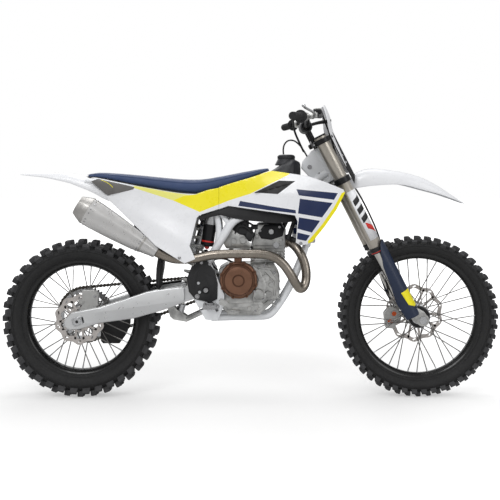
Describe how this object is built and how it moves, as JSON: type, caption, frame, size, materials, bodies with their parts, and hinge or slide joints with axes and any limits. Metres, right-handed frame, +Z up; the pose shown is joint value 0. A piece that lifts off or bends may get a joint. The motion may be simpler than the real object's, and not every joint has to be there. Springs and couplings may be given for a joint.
{
  "type": "motocross_bike",
  "caption": "Motocross bike with spoked wheels, knobbly tyres, upside-down fork, navy seat, white bodywork with yellow and navy bars, side exhaust and chain drive",
  "frame": {"origin": "the middle of the seat's top where the rider sits", "axes": "+X forward, +Y to the rider's left, +Z up"},
  "size_m": [2.166, 0.8202, 1.2786],
  "materials": {
    "tyre_black": "matte",
    "rim_black": "satin",
    "bare_aluminium": "satin",
    "disc_steel": "brushed",
    "frame_white": "gloss",
    "black_plastic": "matte",
    "cast_silver": "satin",
    "clutch_bronze": "satin",
    "header_steel": "satin",
    "silencer_dark": "satin",
    "panel_white": "gloss",
    "tank_grey": "satin",
    "seat_navy": "matte",
    "bright_steel": "satin",
    "black_metal": "satin",
    "caliper_silver": "satin",
    "fork_silver": "satin",
    "guard_blue": "gloss",
    "pad_black": "matte",
    "grip_rubber": "matte",
    "plate_white": "gloss"
  },
  "bodies": {
    "chassis": {"frame_backbone": "frame_white", "frame_cradle": "frame_white", "subframe": "frame_white", "frame_guards": "black_plastic", "crankcase": "cast_silver", "cylinder_head": "cast_silver", "engine_covers": "clutch_bronze", "throttle_body": "black_plastic", "exhaust_header": "header_steel", "silencer": "silencer_dark", "radiators": "cast_silver", "shrouds": "panel_white", "side_panels": "panel_white", "fuel_tank": "tank_grey", "seat": "seat_navy", "rear_fender": "panel_white", "airbox": "black_plastic", "swingarm": "cast_silver", "rear_axle": "bright_steel", "shock_linkage": "cast_silver", "shock_absorber": "black_metal", "rear_caliper": "caliper_silver", "chain_slider": "black_plastic", "chain_guide": "black_plastic", "drive_chain": "bright_steel", "drive_sprocket": "bright_steel", "footpegs": "bright_steel", "foot_levers": "bright_steel", "tank_vent_hose": "black_plastic"},
    "steering": {"triple_clamps": "black_metal", "fork_tubes": "fork_silver", "fork_sliders": "cast_silver", "front_axle": "bright_steel", "fork_guards": "guard_blue", "handlebar": "black_metal", "bar_pad": "pad_black", "grips": "grip_rubber", "hand_controls": "bright_steel", "front_fender": "panel_white", "number_plate": "plate_white", "front_caliper": "caliper_silver", "front_brake_hose": "black_plastic", "throttle_cable": "black_plastic"},
    "front_wheel": {"front_tyre": "tyre_black", "front_rim": "rim_black", "front_hub": "bare_aluminium", "front_disc": "disc_steel"},
    "rear_wheel": {"rear_tyre": "tyre_black", "rear_rim": "rim_black", "rear_hub": "bare_aluminium", "rear_disc": "disc_steel", "rear_sprocket": "disc_steel"}
  },
  "joints": [
    {"name": "steering_turn", "type": "hinge", "parent": "chassis", "child": "steering", "pos_m": [0.92424, 0, -0.62483], "axis": [-0.454, 0, 0.891], "range_deg": [-45, 45]},
    {"name": "front_wheel_spin", "type": "hinge", "parent": "steering", "child": "front_wheel", "pos_m": [0.97503, 0, -0.59895], "axis": [0, 1, 0], "continuous": true},
    {"name": "rear_wheel_spin", "type": "hinge", "parent": "chassis", "child": "rear_wheel", "pos_m": [-0.5, 0, -0.60595], "axis": [0, 1, 0], "continuous": true}
  ]
}
